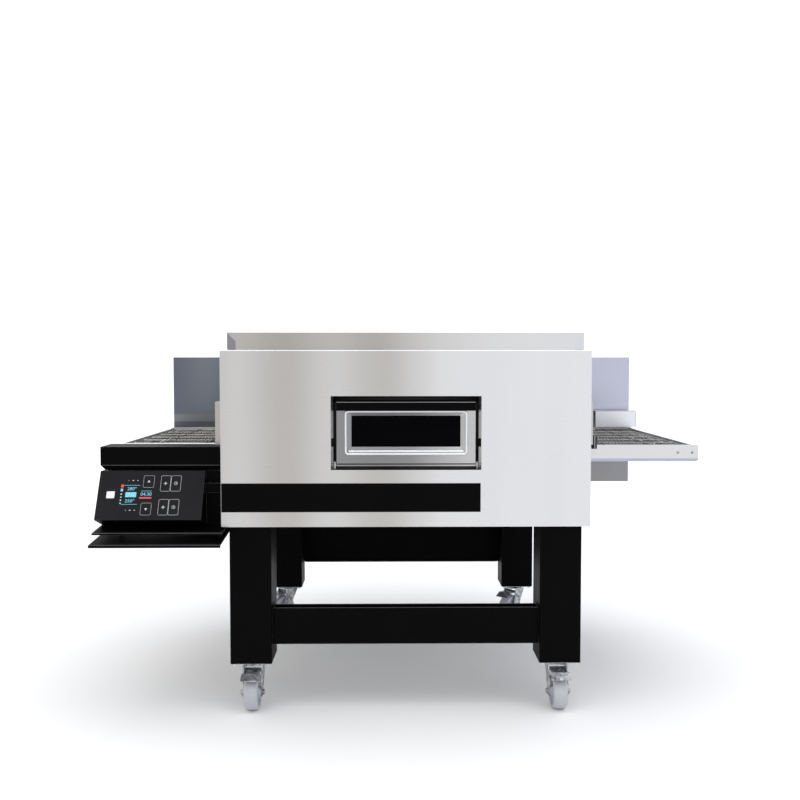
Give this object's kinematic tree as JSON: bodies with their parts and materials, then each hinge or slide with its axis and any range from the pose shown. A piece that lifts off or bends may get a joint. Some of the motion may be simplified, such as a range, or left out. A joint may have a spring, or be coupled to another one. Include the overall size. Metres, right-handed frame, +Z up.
{
  "type": "conveyor pizza oven",
  "caption": "Conveyor pizza oven in brushed steel with a window door, wire belt shelves, tilted control box and a black stand on braked swivel casters.",
  "frame": {"origin": "on the floor, under the middle of the overall length and depth", "axes": "+X to the right along the conveyor, +Y to the back, +Z up"},
  "size_m": [2.154, 1.467, 1.355],
  "materials": {
    "stainless": "brushed, vertical grain",
    "black_paint": "satin powder coat",
    "control_film": "satin printed film on sheet",
    "zinc_plate": "bright zinc plate",
    "white_nylon": "semi-gloss nylon",
    "button_plastic": "glossy",
    "dark_glass": "tinted black glass",
    "belt_wire": "drawn wire, heat tinted",
    "shaft_steel": "turned and ground",
    "chamber_steel": "heat-darkened sheet",
    "mineral_wool": "matt fibre",
    "element_sheath": "oxidised",
    "motor_enamel": "satin enamel on cast housing",
    "bush_bronze": "turned",
    "gland_nylon": "matt"
  },
  "bodies": {
    "oven": {"front_panel": "stainless", "left_side_panel": "stainless", "right_side_panel": "stainless", "top_panel": "stainless", "rear_panel": "stainless", "vent_collector": "stainless", "tunnel_hoods": "stainless", "front_rail": "stainless", "rear_rail": "stainless", "conveyor_brackets": "stainless", "backsplash_wings": "stainless", "motor_cover": "stainless", "base_panel": "stainless", "front_band": "black_paint", "legs": "black_paint", "front_stretcher": "black_paint", "side_beams": "black_paint", "stand_rear_panel": "black_paint", "drive_cover": "black_paint", "control_box": "black_paint", "air_guides": "black_paint", "control_face": "control_film", "caster_plates": "zinc_plate", "fasteners": "zinc_plate", "door_hinge_brackets": "zinc_plate", "wire_belt": "belt_wire", "drive_chain": "shaft_steel", "belt_supports": "shaft_steel", "oven_chamber": "chamber_steel", "air_fingers": "chamber_steel", "chamber_insulation": "mineral_wool", "heating_elements": "element_sheath", "fan_motor": "motor_enamel", "gearmotor": "motor_enamel", "shaft_bushes": "bush_bronze", "cable_gland": "gland_nylon"},
    "door": {"door_frame": "stainless", "door_glass": "dark_glass", "door_handle": "black_paint"},
    "drive_shaft": {"drive_shaft": "shaft_steel"},
    "idler_shaft": {"idler_shaft": "shaft_steel"},
    "motor_sprocket": {"motor_sprocket": "shaft_steel"},
    "fan_rotor": {"fan_rotor": "shaft_steel"},
    "left_tunnel_shutter": {"left_tunnel_shutter": "stainless"},
    "right_tunnel_shutter": {"right_tunnel_shutter": "stainless"},
    "left_crumb_tray": {"left_crumb_tray": "stainless"},
    "right_crumb_tray": {"right_crumb_tray": "stainless"},
    "power_button": {"power_button": "button_plastic"},
    "caster_fork_front_left": {"caster_fork_front_left": "zinc_plate"},
    "caster_wheel_front_left": {"caster_wheel_front_left": "white_nylon"},
    "brake_pedal_front_left": {"brake_pedal_front_left": "zinc_plate"},
    "caster_fork_front_right": {"caster_fork_front_right": "zinc_plate"},
    "caster_wheel_front_right": {"caster_wheel_front_right": "white_nylon"},
    "brake_pedal_front_right": {"brake_pedal_front_right": "zinc_plate"},
    "caster_fork_rear_left": {"caster_fork_rear_left": "zinc_plate"},
    "caster_wheel_rear_left": {"caster_wheel_rear_left": "white_nylon"},
    "brake_pedal_rear_left": {"brake_pedal_rear_left": "zinc_plate"},
    "caster_fork_rear_right": {"caster_fork_rear_right": "zinc_plate"},
    "caster_wheel_rear_right": {"caster_wheel_rear_right": "white_nylon"},
    "brake_pedal_rear_right": {"brake_pedal_rear_right": "zinc_plate"}
  },
  "joints": [
    {"name": "door_hinge", "type": "hinge", "parent": "oven", "child": "door", "pos_m": [0, -0.6205, 0.891], "axis": [1, 0, 0], "range_deg": [0, 90]},
    {"name": "drive_shaft_spin", "type": "hinge", "parent": "oven", "child": "drive_shaft", "pos_m": [-1.041, -0.0525, 0.924], "axis": [0, 1, 0], "continuous": true},
    {"name": "idler_shaft_spin", "type": "hinge", "parent": "oven", "child": "idler_shaft", "pos_m": [1.041, -0.0525, 0.924], "axis": [0, 1, 0], "continuous": true},
    {"name": "motor_sprocket_spin", "type": "hinge", "parent": "oven", "child": "motor_sprocket", "pos_m": [-0.87, -0.5185, 0.924], "axis": [0, 1, 0], "continuous": true},
    {"name": "fan_spin", "type": "hinge", "parent": "oven", "child": "fan_rotor", "pos_m": [0, 0.4535, 0.99], "axis": [0, 1, 0], "continuous": true},
    {"name": "left_shutter_slide", "type": "slide", "parent": "oven", "child": "left_tunnel_shutter", "axis": [0, 0, 1], "range_m": [-0.045, 0]},
    {"name": "right_shutter_slide", "type": "slide", "parent": "oven", "child": "right_tunnel_shutter", "axis": [0, 0, 1], "range_m": [-0.045, 0]},
    {"name": "left_tray_slide", "type": "slide", "parent": "oven", "child": "left_crumb_tray", "axis": [-1, 0, 0], "range_m": [0, 0.33]},
    {"name": "right_tray_slide", "type": "slide", "parent": "oven", "child": "right_crumb_tray", "axis": [1, 0, 0], "range_m": [0, 0.33]},
    {"name": "power_button_press", "type": "slide", "parent": "oven", "child": "power_button", "axis": [0, 0.8972, -0.4416], "range_m": [0, 0.002], "stiffness_N_per_m": 400},
    {"name": "swivel_front_left", "type": "hinge", "parent": "oven", "child": "caster_fork_front_left", "pos_m": [-0.552, -0.5225, 0.154], "axis": [0, 0, 1], "continuous": true},
    {"name": "wheel_front_left", "type": "hinge", "parent": "caster_fork_front_left", "child": "caster_wheel_front_left", "pos_m": [-0.552, -0.5625, 0.0625], "axis": [1, 0, 0], "continuous": true},
    {"name": "brake_front_left", "type": "hinge", "parent": "caster_fork_front_left", "child": "brake_pedal_front_left", "pos_m": [-0.552, -0.5445, 0.138], "axis": [1, 0, 0], "range_deg": [0, 8]},
    {"name": "swivel_front_right", "type": "hinge", "parent": "oven", "child": "caster_fork_front_right", "pos_m": [0.552, -0.5225, 0.154], "axis": [0, 0, 1], "continuous": true},
    {"name": "wheel_front_right", "type": "hinge", "parent": "caster_fork_front_right", "child": "caster_wheel_front_right", "pos_m": [0.552, -0.5625, 0.0625], "axis": [1, 0, 0], "continuous": true},
    {"name": "brake_front_right", "type": "hinge", "parent": "caster_fork_front_right", "child": "brake_pedal_front_right", "pos_m": [0.552, -0.5445, 0.138], "axis": [1, 0, 0], "range_deg": [0, 8]},
    {"name": "swivel_rear_left", "type": "hinge", "parent": "oven", "child": "caster_fork_rear_left", "pos_m": [-0.552, 0.5355, 0.154], "axis": [0, 0, 1], "continuous": true},
    {"name": "wheel_rear_left", "type": "hinge", "parent": "caster_fork_rear_left", "child": "caster_wheel_rear_left", "pos_m": [-0.58028, 0.50722, 0.0625], "axis": [0.7071, -0.7071, 0], "continuous": true},
    {"name": "brake_rear_left", "type": "hinge", "parent": "caster_fork_rear_left", "child": "brake_pedal_rear_left", "pos_m": [-0.56756, 0.51994, 0.138], "axis": [0.7071, -0.7071, 0], "range_deg": [0, 8]},
    {"name": "swivel_rear_right", "type": "hinge", "parent": "oven", "child": "caster_fork_rear_right", "pos_m": [0.552, 0.5355, 0.154], "axis": [0, 0, 1], "continuous": true},
    {"name": "wheel_rear_right", "type": "hinge", "parent": "caster_fork_rear_right", "child": "caster_wheel_rear_right", "pos_m": [0.52372, 0.50722, 0.0625], "axis": [0.7071, -0.7071, 0], "continuous": true},
    {"name": "brake_rear_right", "type": "hinge", "parent": "caster_fork_rear_right", "child": "brake_pedal_rear_right", "pos_m": [0.53644, 0.51994, 0.138], "axis": [0.7071, -0.7071, 0], "range_deg": [0, 8]}
  ],
  "couplings": [
    {"joint": "idler_shaft_spin", "follows": "drive_shaft_spin", "ratio": 1},
    {"joint": "motor_sprocket_spin", "follows": "drive_shaft_spin", "ratio": 1.3077}
  ]
}
